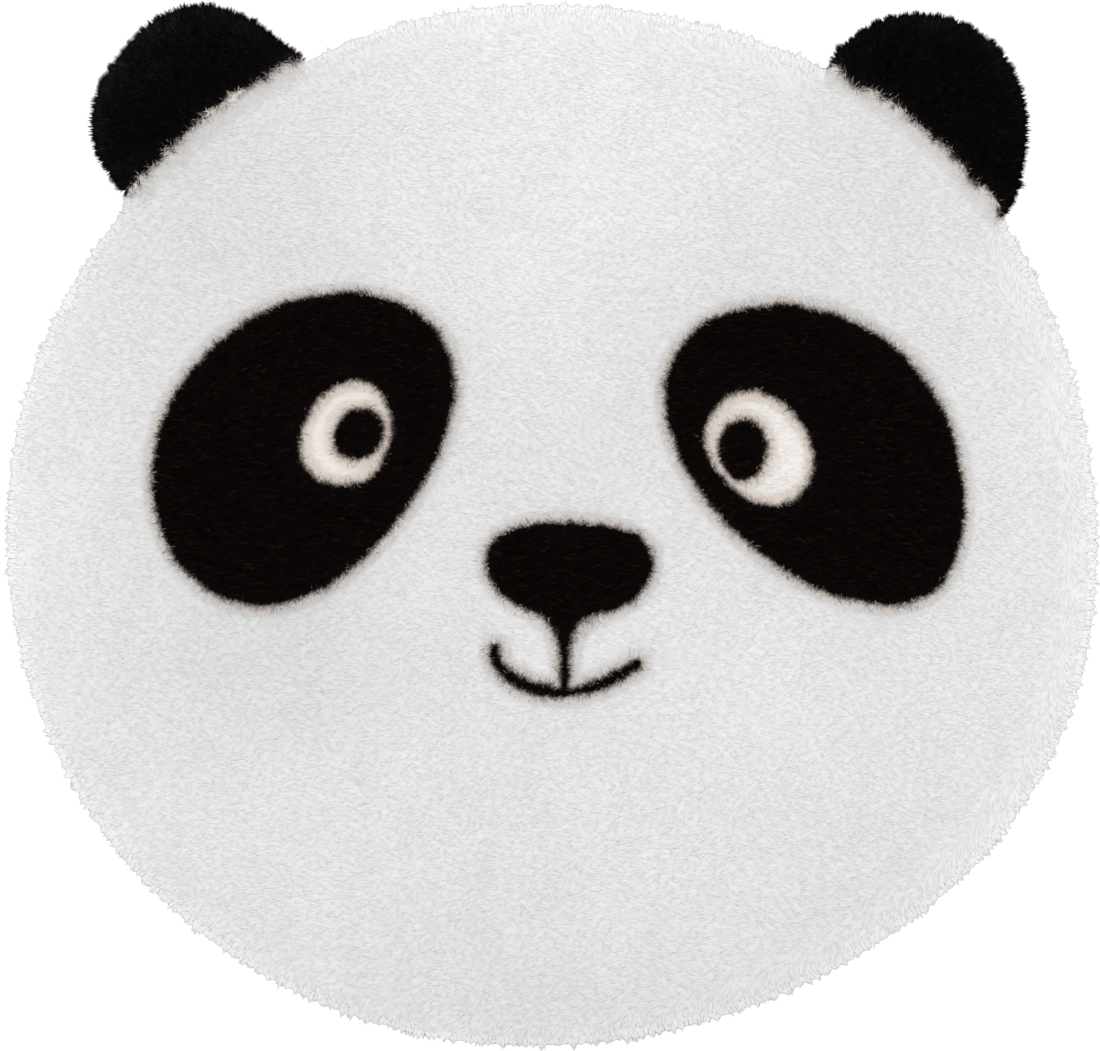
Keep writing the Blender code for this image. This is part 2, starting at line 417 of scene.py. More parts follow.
# colours of the fibres, with painted light and shade: lighter and darker spots, lighter rims and seams,
# glints
dyesAndPaintedLight = {
    "white": (0.65, 0.651, 0.653),
    "eyeWhite": (0.73, 0.696, 0.666),
    "eyeReach": 0.002,        # how far past its border an eye keeps its own white
    "dark": (0.001, 0.0005, 0.0004),
    "darkRise": 0.004,        # a little white shows among the black fibres near a border
    "darkReach": 0.005,
    "ear": (0.0011, 0.0008, 0.001),
    # the glint colours are painted glints on the black fibres, of the ears and of the face's marks
    "earPaintedGlint": (0.0095, 0.008, 0.0094),
    "darkPaintedGlint": (0.0025, 0.0012, 0.001),
    "fadeFrom": -0.002,       # the dye runs out over this stretch of a border
    "fadeTo": 0.002,
    "fadeEnd": 0.95,          # how white the pile is there
    "fadeTail": 0.007,
    "wanderFrom": 0.012,      # nearer than this the border wanders
    "jitter": 0.0011,         # how unevenly neighbouring tufts take the dye, one by one and in locks
    "jitterMost": 2.2,
    "lockJitter": 0.0038,
    "lockSize": 0.0019,
    "lockSeed": 3.1,
    "lockFrom": 0.016,
    "stray": 0.16,            # share of black fibres that reach out over the white, and how far
    "strayReach": 0.005,
    "rootShare": 0.55,        # how far a tuft keeps the colour of its root, right up to its tip
    "warm": (0.0, 0.088, 0.158),
    "warmReach": 0.0054,
    "warmInside": 1.2,
    "whiteSpread": 0.006,
    "whitest": 0.97,
    "darkSpread": 0.85,       # most black fibres are very dark, a few are lighter
    "darkMost": (-3.0, 2.5),
    "glintLeast": 0.12,
    "glintRare": 2.5,
    "bedLight": 0.99,         # the bed, between the tufts, as a share of their white
    "clouds": [               # size, strength and seed of the soft patches in the white
        (0.15, 0.03, 2.3),
        (0.034, 0.022, 6.1),
        (0.012, 0.008, 3.9),
    ],
    "napAndPaintedLight": [                  # painted light and shade in the white, as soft spots: lighter at the top and the side rims, darker at the bottom and beside the ears; each has its middle, reach across and along, strength
        (0.0, 0.36, 0.2, 0.2, 0.085),
        (0.47, 0.0, 0.13, 0.34, 0.05),
        (-0.46, -0.04, 0.08, 0.3, 0.06),
        (0.18, -0.12, 0.14, 0.12, 0.045),
        (-0.21, -0.1, 0.1, 0.09, -0.055),
        (-0.27, 0.32, 0.11, 0.09, -0.055),
        (0.3, 0.31, 0.11, 0.09, -0.045),
        (0.455, 0.0, 0.02, 0.36, 0.02),
        (0.0, -0.42, 0.36, 0.05, -0.05),
        (0.03, -0.1, 0.1, 0.08, 0.04),
        (-0.2, 0.215, 0.08, 0.05, -0.03),
    ],
    # painted light towards a free rim and a seam, against the shade the fibres cast on each other there:
    # how far in, how much lighter
    "rimDepth": (0.001, 0.006, 0.01, 0.014, 0.022),
    "rimLight": (0.01, 0.058, 0.07, 0.035, 0.0),
    "seamDepth": (0.004, 0.008, 0.013, 0.019),
    "seamLight": (0.06, 0.1, 0.06, 0.0),
    "seamBlend": 0.006,
    "markShade": 0.04,        # near the face's marks the white is a little darker
    "markReach": 0.03,
}


def dyeAt(side, x, y, jitter):
    # the white at each point and how far it is dyed, given how each tuft strays from the border
    dark = np.minimum(darkDistance(x, y), seamDistance(x, y, seamBorder["slack"][side])) + jitter
    near = np.abs(dark) < dyesAndPaintedLight["wanderFrom"]
    dark[near] += wanderAt(x[near], y[near])
    stretch = dyesAndPaintedLight["fadeTo"] - dyesAndPaintedLight["fadeFrom"]
    share = dyesAndPaintedLight["fadeEnd"] * softStep((dark - dyesAndPaintedLight["fadeFrom"]) / stretch)
    tail = 1.0 - np.exp(-np.maximum(dark - dyesAndPaintedLight["fadeTo"], 0.0) / dyesAndPaintedLight["fadeTail"])
    share = share + (1.0 - dyesAndPaintedLight["fadeEnd"]) * tail
    share = share + dyesAndPaintedLight["darkRise"] * np.exp(-np.abs(dark) / dyesAndPaintedLight["darkReach"])
    share = share[:, None]
    white = np.empty((len(x), 3))
    white[:] = dyesAndPaintedLight["white"]
    white[eyeDistance(x, y) < dyesAndPaintedLight["eyeReach"]] = dyesAndPaintedLight["eyeWhite"]
    warmth = np.exp(-(np.maximum(dark, 0.0) / dyesAndPaintedLight["warmReach"]) ** 2)
    warmth = warmth * (1.0 + dyesAndPaintedLight["warmInside"] * np.clip(-dark / stretch, 0.0, 1.0))
    white *= 1.0 - warmth[:, None] * np.array(dyesAndPaintedLight["warm"])
    return white * share, 1.0 - share


# soft clouds in the white, with painted light and shade: lighter and darker spots, a lighter rim and seam,
# and darker near the marks
def cloudsAndPaintedLightAt(x, y):
    cloud = np.ones(x.shape)
    for size, strength, seed in dyesAndPaintedLight["clouds"]:
        cloud *= 1.0 + strength * noiseAt(x, y, size, seed)
    # painted light and shade, from the soft spots
    paintedLightSpots = sum(strength * np.exp(-((x - px) / across) ** 2 - ((y - py) / along) ** 2)
                  for px, py, across, along, strength in dyesAndPaintedLight["napAndPaintedLight"])
    inset = headInset(x, y)
    # painted light, lighter towards a free rim and a seam
    atRim = np.interp(inset, dyesAndPaintedLight["rimDepth"], dyesAndPaintedLight["rimLight"])
    atSeam = np.interp(inset, dyesAndPaintedLight["seamDepth"], dyesAndPaintedLight["seamLight"])
    nearEar = softStep(1.0 + nearerEar(x, y) / dyesAndPaintedLight["seamBlend"])
    nearMark = np.exp(-np.maximum(darkDistance(x, y), 0.0) / dyesAndPaintedLight["markReach"])
    cloud *= 1.0 - dyesAndPaintedLight["markShade"] * nearMark
    return cloud * (1.0 + paintedLightSpots + atRim * (1.0 - nearEar) + atSeam * nearEar)


# painted glints and sheen in the ears' black pile: everywhere, more towards the lit side of the rim, and in
# soft patches
earLight = {
    "left": {"even": 0.16, "rim": 1.7, "rimTowards": 130.0, "rimDepth": 0.022},
    "right": {"even": 0.06, "rim": 0.7, "rimTowards": 75.0, "rimDepth": 0.016},
    "rimNarrow": 1.5,         # how closely the rim's light keeps to its side
    "clouds": [(0.022, 0.55, 9.2), (0.0075, 0.5, 5.2)],
    "cloudEven": 0.3,
    "most": 2.2,
}


def earShade(side, x, y):
    light = earLight[side]
    towards = math.radians(light["rimTowards"])
    heart = heartOf(side)
    angle = np.arctan2(y - heart[1], x - heart[0])
    # painted light: lighter towards the lit side of the rim
    depth = np.exp(-np.maximum(earRimInset(side, x, y), 0.0) / light["rimDepth"])
    lit = (0.5 + 0.5 * np.cos(angle - towards)) ** earLight["rimNarrow"]
    shade = light["even"] + light["rim"] * depth * lit
    for size, strength, seed in earLight["clouds"]:
        shade = shade + strength * noiseAt(x, y, size, seed) * (earLight["cloudEven"] + shade)
    return shade.clip(0.0, earLight["most"])


# cloth beds: the dense foot of the pile, that the tufts stand in
bedForm = {
    "pileOver": 0.0022,       # how far the tufts stand over the bed
    "rimOver": 0.002,         # how far it reaches past the cloth at a free rim
    "seamIn": 0.0002,         # how far it stays short of a seam
    "seamFrom": 0.01,
    "seamBlend": 0.006,
    "rootIn": 0.0002,
    "headPoints": 560,
    "earPoints": 160,
    "cutPoints": 720,
    "rays": 2880,             # rays from a piece's heart find its edge, by halving
    "rayLength": 0.6,
    "halvings": 24,
    "refine": (0.01, 0.0048),     # nearer than each of these to a mark's border it is cut once more
    "rimDrop": 0.0005,        # how much deeper it lies where the pile rolls over to its rim
    "rimDropFrom": 0.024,
    "floorGap": 0.0002,
    "wallStep": 0.002,
    "smoothAngle": 50.0,
}


def lengthAlong(ring):
    closed = np.vstack([ring, ring[:1]])
    return np.concatenate([[0.0], np.cumsum(np.hypot(*np.diff(closed, axis=0).T))])


def alongRing(at, length, ring):
    closed = np.vstack([ring, ring[:1]])
    at = at % length[-1]
    return np.stack([np.interp(at, length, closed[:, 0]), np.interp(at, length, closed[:, 1])], 1)


def edgeRing(side, count, field):
    # evenly spaced points where a field falls to zero round a piece
    heart = heartOf(side)
    angle = np.linspace(0.0, 2.0 * math.pi, bedForm["rays"], endpoint=False)
    near, far = np.zeros(len(angle)), np.full(len(angle), bedForm["rayLength"])
    for _ in range(bedForm["halvings"]):
        middle = (near + far) / 2
        x, y = heart[0] + middle * np.cos(angle), heart[1] + middle * np.sin(angle)
        covered = field(side, x, y) > 0.0
        near, far = np.where(covered, middle, near), np.where(covered, far, middle)
    ring = np.stack([heart[0] + near * np.cos(angle), heart[1] + near * np.sin(angle)], 1)
    length = lengthAlong(ring)
    return alongRing(np.linspace(0.0, length[-1], count, endpoint=False), length, ring)


def setMode(mode):
    bpy.ops.object.mode_set(mode=mode)


def pointsOf(piece):
    places = np.zeros(len(piece.data.vertices) * 3)
    piece.data.vertices.foreach_get("co", places)
    return places.reshape(-1, 3)


def refineBorders(bed):
    for reach in bedForm["refine"]:
        places = pointsOf(bed)
        near = np.abs(darkDistance(places[:, 0], places[:, 1])) < reach
        setMode("EDIT")
        bpy.ops.mesh.select_mode(type="FACE")
        bpy.ops.mesh.select_all(action="DESELECT")
        grid = bmesh.from_edit_mesh(bed.data)
        for face in grid.faces:
            face.select_set(any(near[vertex.index] for vertex in face.verts))
        bmesh.update_edit_mesh(bed.data)
        bpy.ops.mesh.subdivide(number_cuts=1)
        setMode("OBJECT")


def addBed(side, name):
    count = bedForm["headPoints"] if side == "head" else bedForm["earPoints"]
    bpy.ops.object.select_all(action="DESELECT")
    bpy.ops.mesh.primitive_circle_add(vertices=count, radius=1.0, fill_type="NOTHING")
    bed = bpy.context.object
    bed.name = bed.data.name = name
    for vertex, (x, y) in zip(bed.data.vertices, edgeRing(side, count, bedInset)):
        vertex.co = (x, y, 0.0)
    setMode("EDIT")
    bpy.ops.mesh.select_all(action="SELECT")
    if side == "head":
        ring = bmesh.from_edit_mesh(bed.data)
        ring.verts.ensure_lookup_table()
        ring.select_history.add(ring.verts[0])      # the grid starts here, clear of the ears' corners
    bpy.ops.mesh.fill_grid(span=count // 4)
    setMode("OBJECT")
    if side == "head":
        refineBorders(bed)
    places = pointsOf(bed)
    x, y = places[:, 0], places[:, 1]
    atRim = 1.0 - softStep(np.maximum(headInset(x, y), nearerEar(x, y)) / bedForm["rimDropFrom"])
    places[:, 2] = pileTop(side, x, y) - bedForm["pileOver"] - bedForm["rimDrop"] * atRim
    bed.data.vertices.foreach_set("co", places.ravel())
    setMode("EDIT")
    bpy.ops.mesh.select_mode(type="EDGE")
    bpy.ops.mesh.select_all(action="DESELECT")
    bpy.ops.mesh.select_non_manifold()
    bpy.ops.mesh.extrude_region_move(TRANSFORM_OT_translate={"value": (0, 0, -bedForm["wallStep"])})
    shell = bmesh.from_edit_mesh(bed.data)
    for vertex in shell.verts:
        if vertex.select:
            vertex.co.z = bedForm["floorGap"]
    bmesh.update_edit_mesh(bed.data)
    bpy.ops.mesh.edge_face_add()
    bpy.ops.mesh.select_all(action="SELECT")
    bpy.ops.mesh.normals_make_consistent(inside=False)
    setMode("OBJECT")
    bpy.ops.object.shade_smooth_by_angle(angle=math.radians(bedForm["smoothAngle"]))
    bed.data.materials.append(plush[side])
    paintBed(bed, side)
    return bed


def addColours(mesh, colours):
    layer = mesh.attributes.new("pileColour", "FLOAT_COLOR", "POINT")
    paint = np.hstack([colours, np.ones((len(colours), 1))])
    layer.data.foreach_set("color", paint.astype(np.float32).ravel())


def paintBed(bed, side):
    places = pointsOf(bed)
    x, y = places[:, 0], places[:, 1]
    light, dyed = dyeAt(side, x, y, 0.0)
    black = dyesAndPaintedLight["dark"] if side == "head" else dyesAndPaintedLight["ear"]
    shade = cloudsAndPaintedLightAt(x, y) * dyesAndPaintedLight["bedLight"]
    addColours(bed.data, light * shade[:, None] + dyed * np.array(black))


# plush: matt fibres with a little sheen, coloured tuft by tuft
plushLook = {
    "white": {"roughness": 0.95, "specular": 0.01, "sheen": 0.01, "sheenRoughness": 0.6,
              "mottle": (0.98, 1.02), "mottleScale": 1500.0, "bump": 0.12, "bumpScale": 1100.0,
              "bumpDepth": 0.0004},
    "black": {"roughness": 0.8, "specular": 0.02, "sheen": 0.01, "sheenRoughness": 0.5,
              "mottle": (0.6, 1.6), "mottleScale": 1300.0, "bump": 0.4, "bumpScale": 900.0,
              "bumpDepth": 0.0005},
    "mottleFrom": (0.3, 0.7),     # this stretch of the noise is spread over the mottle
    "mottleDetail": 1.0,
    "bumpDetail": 2.0,
}


def addNoise(nodes, links, place, scale, detail):
    grain = nodes.new("ShaderNodeTexNoise")
    setInputs(grain, {"Scale": scale, "Detail": detail})
    links.new(place.outputs["Object"], grain.inputs["Vector"])
    return grain


def addPlush(name, look):
    material = bpy.data.materials.new(name)
    material.use_nodes = True
    nodes, links = material.node_tree.nodes, material.node_tree.links
    shader = nodes["Principled BSDF"]
    pile = nodes.new("ShaderNodeAttribute")
    pile.attribute_name = "pileColour"
    place = nodes.new("ShaderNodeTexCoord")
    mottle = addNoise(nodes, links, place, look["mottleScale"], plushLook["mottleDetail"])
    spread = nodes.new("ShaderNodeMapRange")
    setInputs(spread, dict(zip(("From Min", "From Max"), plushLook["mottleFrom"])))
    setInputs(spread, dict(zip(("To Min", "To Max"), look["mottle"])))
    links.new(mottle.outputs["Fac"], spread.inputs["Value"])
    tint = nodes.new("ShaderNodeVectorMath")
    tint.operation = "SCALE"
    links.new(pile.outputs["Color"], tint.inputs["Vector"])
    links.new(spread.outputs["Result"], tint.inputs["Scale"])
    links.new(tint.outputs["Vector"], shader.inputs["Base Color"])
    fibres = addNoise(nodes, links, place, look["bumpScale"], plushLook["bumpDetail"])
    bump = nodes.new("ShaderNodeBump")
    setInputs(bump, {"Strength": look["bump"], "Distance": look["bumpDepth"]})
    links.new(fibres.outputs["Fac"], bump.inputs["Height"])
    links.new(bump.outputs["Normal"], shader.inputs["Normal"])
    setInputs(shader, {
        "Roughness": look["roughness"],
        "Specular IOR Level": look["specular"],
        "Sheen Weight": look["sheen"],
        "Sheen Roughness": look["sheenRoughness"],
    })
    return material


plush = {"head": addPlush("whitePlush", plushLook["white"])}
plush["left"] = plush["right"] = addPlush("blackPlush", plushLook["black"])

# tufts: one spike of fibres is modelled, and joined by the thousand into a piece
earTufts = {"spacing": 0.0015, "length": 0.0058, "spread": 0.2, "radius": 0.0006, "lean": 58.0,
            "leanSpread": 9.0, "lift": 1.0, "flat": 0.3, "roll": 0.2, "napSway": 120.0,
            "napSpread": 50.0}
tuftForm = {
    # the lift is painted light, a factor that makes the white lighter against the shade among the tufts;
    # flat is a tuft's depth as a share of its width
    "head": {"spacing": 0.00236, "length": 0.0085, "spread": 0.18, "radius": 0.0013, "lean": 85.0,
             "leanSpread": 0.8, "seed": 21, "lift": 1.0, "flat": 0.04, "roll": 0.03, "napAndPaintedLight": 185.0,
             "napSway": 28.0, "napSpread": 14.0, "sunk": 0.0001, "fineNear": 0.013, "fineRadius": 0.36,
             "fineLength": 0.55, "rimClear": 0.0, "rimReach": 0.0028},
    "left": {**earTufts, "seed": 22, "napAndPaintedLight": 140.0},
    "right": {**earTufts, "seed": 23, "napAndPaintedLight": 40.0},
    "rowSpacing": 0.866,      # rows stand closer than the tufts in them, as in a honeycomb
    "scatter": 0.42,          # how far a tuft strays from its place in the grid
    "most": 2.0,              # no tuft differs from its mean by more than this many deviations
    "leanLimits": (0.1, 1.53),
    "radiusSpread": 0.2,
    "sunk": 0.0004,
    "markLean": 0.01,         # within this of a mark's border they lie from the black over the white
    "markTurn": 1.5,
    # within edgeLean of a free edge they turn outward, fully so in the last fifth
    "edgeLean": {"head": 0.028, "left": 0.014, "right": 0.014},
    "edgeTurn": 1.25,
    "seamLean": 0.007,        # within this of a seam the tufts lie from the ear over the head
    "seamYield": 0.5,         # how much of their own lie they give up there
    "napSize": 0.06,          # over what size the nap sways
    "napSeed": 7.7,
    "softness": 0.994,        # how far a tuft is shaded as the pile's surface, not as itself
    "ownRound": 0.25,
    "bakeTaper": 0.8,         # how much slimmer a tuft's tip is in the bake map
    "bakeEdge": 0.001,
}


def spikeModel():
    # corners and faces of a three-sided spike of unit height, one ridge towards +Y
    bpy.ops.object.select_all(action="DESELECT")
    bpy.ops.mesh.primitive_cone_add(vertices=3, radius1=1.0, radius2=0.0, depth=1.0, location=(0, 0, 0.5))
    bpy.ops.object.transform_apply(location=True, rotation=True, scale=True)
    tuft = bpy.context.object
    places = np.array([vertex.co[:] for vertex in tuft.data.vertices])
    faces = np.array([face.vertices[:] for face in tuft.data.polygons])
    bpy.data.objects.remove(tuft, do_unlink=True)
    return places, faces


spike = spikeModel()
print("tuft model ready:", len(spike[1]), "faces")


def gridPoints(side, spacing, rng):
    low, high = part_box(solids[side])
    columns = np.arange(low.x, high.x, spacing)
    rows = np.arange(low.y, high.y, spacing * tuftForm["rowSpacing"])
    x, y = np.meshgrid(columns, rows)
    x[1::2] += spacing * 0.5
    x, y = x.ravel(), y.ravel()
    scatter = tuftForm["scatter"]
    x = x + rng.uniform(-scatter, scatter, len(x)) * spacing
    y = y + rng.uniform(-scatter, scatter, len(y)) * spacing
    inside = bedInset(side, x, y) > bedForm["rootIn"]
    return x[inside], y[inside]


def bedNormals(side, x, y):
    step = 0.0012
    here = pileTop(side, x, y)
    alongX = (pileTop(side, x + step, y) - pileTop(side, x - step, y)) / (2 * step)
    alongY = (pileTop(side, x, y + step) - pileTop(side, x, y - step)) / (2 * step)
    return here, unit(np.stack([-alongX, -alongY, np.ones(len(x))], 1))


def bell(rng, count, most):
    # bell-shaped draws round zero, none past the given most
    return rng.normal(size=count).clip(-most, most)


def randomLevel(rng, count):
    turn = rng.uniform(0.0, 2.0 * math.pi, count)
    return np.stack([np.cos(turn), np.sin(turn), np.zeros(count)], 1)


def growTufts(side, form, x, y, level, rng):
    # root, run to the tip, width and shading normal of every tuft on the top of a bed
    height, upright = bedNormals(side, x, y)
    count, most = len(x), tuftForm["most"]
    lean = np.radians(form["lean"] + form["leanSpread"] * bell(rng, count, most))
    lean = lean.clip(*tuftForm["leanLimits"])[:, None]
    length = form["length"] * (1.0 + form["spread"] * bell(rng, count, most))
    radius = form["radius"] * (1.0 + tuftForm["radiusSpread"] * bell(rng, count, most))
    if "fineNear" in form:
        # next to a free rim the tufts are short, and next to a border short and fine
        fromRim = np.where(underEar(x, y), farOff, rimInset(side, x, y))
        length = np.minimum(length, fromRim + form["rimReach"])
        fine = 1.0 - softStep(borderDistance(x, y) / form["fineNear"])
        length = length * (1.0 + (form["fineLength"] - 1.0) * fine)
        radius = radius * (1.0 + (form["fineRadius"] - 1.0) * fine)
    run = (upright * np.cos(lean) + level * np.sin(lean)) * length[:, None]
    # over a hollow or a hump the tip keeps its height above the bed
    slope = pileTop(side, x + run[:, 0], y + run[:, 1]) - height
    run[:, 2] = slope + np.cos(lean[:, 0]) * length
    foot = height - bedForm["pileOver"] - form.get("sunk", tuftForm["sunk"])
    return finishTufts(side, form, rng, {
        "root": np.stack([x, y, foot], 1),
        "run": run,
        "radius": radius,
        "upright": upright,
    })


def finishTufts(side, form, rng, tufts):
    # adds how each tuft is turned round its run, and what its colour is worked out from
    x, y = tufts["root"][:, 0], tufts["root"][:, 1]
    count = len(x)
    tufts["roll"] = form["roll"] * rng.normal(size=count)
    tufts["flat"] = np.full(count, form["flat"])
    tufts["tipLift"] = np.full(count, form.get("tipLift", 0.0))
    spread = 1.0 + dyesAndPaintedLight["whiteSpread"] * rng.normal(size=count)
    # the tone holds painted light: the white's painted light spots, and the lift against the shade among
    # the tufts
    tufts["tone"] = cloudsAndPaintedLightAt(x, y) * spread * form["lift"]
    darker = rng.normal(size=count).clip(*dyesAndPaintedLight["darkMost"])
    tufts["darkTone"] = np.exp(dyesAndPaintedLight["darkSpread"] * darker)
    # painted glints: how much of its glint colour a black fibre has, few have much, and on an ear more
    # towards the lit side of its rim
    least = dyesAndPaintedLight["glintLeast"]
    tufts["glint"] = least + (1.0 - least) * rng.random(count) ** dyesAndPaintedLight["glintRare"]
    if side != "head":
        tufts["glint"] *= earShade(side, x, y)
    jitter = dyesAndPaintedLight["jitter"] * bell(rng, count, dyesAndPaintedLight["jitterMost"])
    stray = rng.random(count) < dyesAndPaintedLight["stray"]
    tufts["jitter"] = jitter - stray * dyesAndPaintedLight["strayReach"] * rng.random(count)
    return tufts


def growPile(side):
    form = tuftForm[side]
    rng = np.random.default_rng(form["seed"])
    x, y = gridPoints(side, form["spacing"], rng)
    kept = (rimInset(side, x, y) > form.get("rimClear", -farOff)) | underEar(x, y)
    x, y = x[kept], y[kept]
    turn = form["napAndPaintedLight"] + form["napSway"] * noiseAt(x, y, tuftForm["napSize"], tuftForm["napSeed"])
    turn = np.radians(turn + form["napSpread"] * rng.normal(size=len(x)))
    fromRim = rimInset(side, x, y)
    if side == "head":
        fromRim = np.maximum(fromRim, np.where(underEar(x, y), farOff, 0.0))
    outward = -levelGradient(lambda px, py: rimInset(side, px, py), x, y)
    offRim = (np.arctan2(outward[:, 1], outward[:, 0]) - turn + math.pi) % (2.0 * math.pi) - math.pi
    full = tuftForm["edgeTurn"]
    turn = turn + offRim * softStep(full - full * fromRim / tuftForm["edgeLean"][side])
    level = np.stack([np.cos(turn), np.sin(turn), np.zeros(len(x))], 1)
    if side == "head":
        nearMark = 1.0 - softStep(np.abs(darkDistance(x, y)) / tuftForm["markLean"])
        level = level + levelGradient(darkDistance, x, y) * (tuftForm["markTurn"] * nearMark)[:, None]
        nearSeam = np.where(underEar(x, y), 1.0 - headInset(x, y) / tuftForm["seamLean"], 0.0)
    else:
        nearSeam = 1.0 + headInset(x, y) / tuftForm["seamLean"]
    nearSeam = np.clip(nearSeam, 0.0, 1.0)[:, None]
    overHead = levelGradient(headInset, x, y)
    level = level * (1.0 - tuftForm["seamYield"] * nearSeam) + overHead * nearSeam
    return growTufts(side, form, x, y, unit(level), rng)


def lockJitter(tufts):
    # neighbouring tufts near a border take the dye alike
    x, y = tufts["root"][:, 0], tufts["root"][:, 1]
    jitter = tufts["jitter"].copy()
    near = borderDistance(x, y) < dyesAndPaintedLight["lockFrom"]
    jitter[near] += dyesAndPaintedLight["lockJitter"] * noiseAt(x[near], y[near], dyesAndPaintedLight["lockSize"],
                                                        dyesAndPaintedLight["lockSeed"])
    return jitter


def paintTufts(side, tufts, corners, heights):
    # the colour at every corner, its height given as a share of the tuft's
    points = len(heights)
    roots = tufts["root"][:, None, :]
    flat = (corners + (roots - corners) * dyesAndPaintedLight["rootShare"]).reshape(-1, 3)
    light, dyed = dyeAt(side, flat[:, 0], flat[:, 1], np.repeat(lockJitter(tufts), points))
    black, glint = ("dark", "darkPaintedGlint") if side == "head" else ("ear", "earPaintedGlint")
    # the black fibres' own dye, with their painted glints added
    black = np.array(dyesAndPaintedLight[black]) * tufts["darkTone"][:, None]
    black = black + np.array(dyesAndPaintedLight[glint]) * tufts["glint"][:, None]
    # painted light: a tuft lighter towards its tip, as on the head's rim locks
    tone = tufts["tone"][:, None] * (1.0 + tufts["tipLift"][:, None] * heights[None, :])
    colours = light * tone.ravel()[:, None] + dyed * np.repeat(black, points, axis=0)
    return colours.clip(0.0, dyesAndPaintedLight["whitest"])


def joinTufts(name, side, tufts):
    # one mesh of many spikes, with their colours, shading and bake map
    places, faces = spike
    count, points = len(tufts["root"]), len(places)
    axis = unit(tufts["run"])
    sideways = unit(np.cross(tufts["upright"], axis))
    above = np.cross(axis, sideways)
    cosine, sine = np.cos(tufts["roll"])[:, None], np.sin(tufts["roll"])[:, None]
    sideways, above = sideways * cosine + above * sine, above * cosine - sideways * sine
    width = tufts["radius"][:, None, None]
    body = sideways[:, None] * places[:, 0][None, :, None]
    body = body + (above * tufts["flat"][:, None])[:, None] * places[:, 1][None, :, None]
    corners = tufts["root"][:, None] + tufts["run"][:, None] * places[:, 2][None, :, None] + body * width
    corners[:, :, 2] = np.maximum(corners[:, :, 2], bedForm["floorGap"])
    mesh = bpy.data.meshes.new(name)
    mesh.vertices.add(count * points)
    mesh.vertices.foreach_set("co", corners.astype(np.float32).ravel())
    loops = (faces.ravel() + np.arange(count)[:, None] * points).ravel()
    mesh.loops.add(len(loops))
    mesh.loops.foreach_set("vertex_index", loops.astype(np.int32))
    triangles = count * len(faces)
    mesh.polygons.add(triangles)
    mesh.polygons.foreach_set("loop_start", np.arange(0, 3 * triangles, 3, dtype=np.int32))
    mesh.polygons.foreach_set("loop_total", np.full(triangles, 3, np.int32))
    mesh.update(calc_edges=True)
    mesh.validate()
    mesh.shade_smooth()
    # soft shading: a tuft takes the light much as the pile's whole surface does
    own = axis[:, None] + body * tuftForm["ownRound"]
    soft = tufts["upright"][:, None] * tuftForm["softness"] + own * (1.0 - tuftForm["softness"])
    mesh.normals_split_custom_set_from_vertices(unit(soft.reshape(-1, 3)).tolist())
    addColours(mesh, paintTufts(side, tufts, corners, places[:, 2]))
    # bake map: each tuft round its root, seen from above
    low, high = corners[:, :, :2].min((0, 1)), corners[:, :, :2].max((0, 1))
    slimmer = 1.0 - tuftForm["bakeTaper"] * places[None, :, 2:]
    flat = tufts["root"][:, None, :2] + places[None, :, :2] * slimmer * width
    flat = ((flat - low) / (high - low).max()).clip(tuftForm["bakeEdge"], 1.0 - tuftForm["bakeEdge"])
    bake = mesh.uv_layers.new(name="OFBake")
    bake.data.foreach_set("uv", flat.reshape(-1, 2)[loops].astype(np.float32).ravel())
    piece = bpy.data.objects.new(name, mesh)
    bpy.context.scene.collection.objects.link(piece)
    mesh.materials.append(plush[side])
    print(name, "has", count, "tufts and", triangles, "triangles")
    return piece


def addPile(side, name, parts):
    tufts = growPile(side)
    if parts == 1:
        return [joinTufts(name, side, tufts)]
    order = np.argsort(tufts["root"][:, 1], kind="stable")
    pieces = []
    for number, band in enumerate(np.array_split(order, parts), 1):
        chosen = {key: value[band] for key, value in tufts.items()}
        pieces.append(joinTufts(f"{name}_{number}", side, chosen))
    return pieces


# borders of the face's marks and of the seams: finer fibres that blur the line
# their lift paints the border and fringe fibres lighter, against the shade they cast on each other
borderForm = {"spacing": 0.0009, "inside": 0.0046, "outside": 0.0056, "length": 0.005, "spread": 0.25,
              "radius": 0.00028, "lean": 66.0, "leanSpread": 10.0, "across": 1.3, "outwards": 0.99,
              "seed": 31, "lift": 1.21, "flat": 0.24, "roll": 0.2}
fringeForm = {"spacing": 0.00072, "depth": 0.011, "depthLeast": 0.3, "depthSpread": 0.9,
              "earDepth": 0.0036, "length": 0.0062, "spread": 0.3, "radius": 0.00032, "lean": 70.0,
              "leanSpread": 8.0, "stray": 0.6, "outwards": 0.1, "seed": 51, "lift": 1.2, "flat": 0.24,
              "roll": 0.2}


def addBorders(name):
    rng = np.random.default_rng(borderForm["seed"])
    x, y = gridPoints("head", borderForm["spacing"], rng)
    dark = darkDistance(x, y)
    near = (dark > -borderForm["inside"]) & (dark < borderForm["outside"])
    x, y = x[near], y[near]
    way = np.where(rng.random(len(x)) < borderForm["outwards"], borderForm["across"], -borderForm["across"])
    level = unit(randomLevel(rng, len(x)) + levelGradient(darkDistance, x, y) * way[:, None])
    return joinTufts(name, "head", growTufts("head", borderForm, x, y, level, rng))


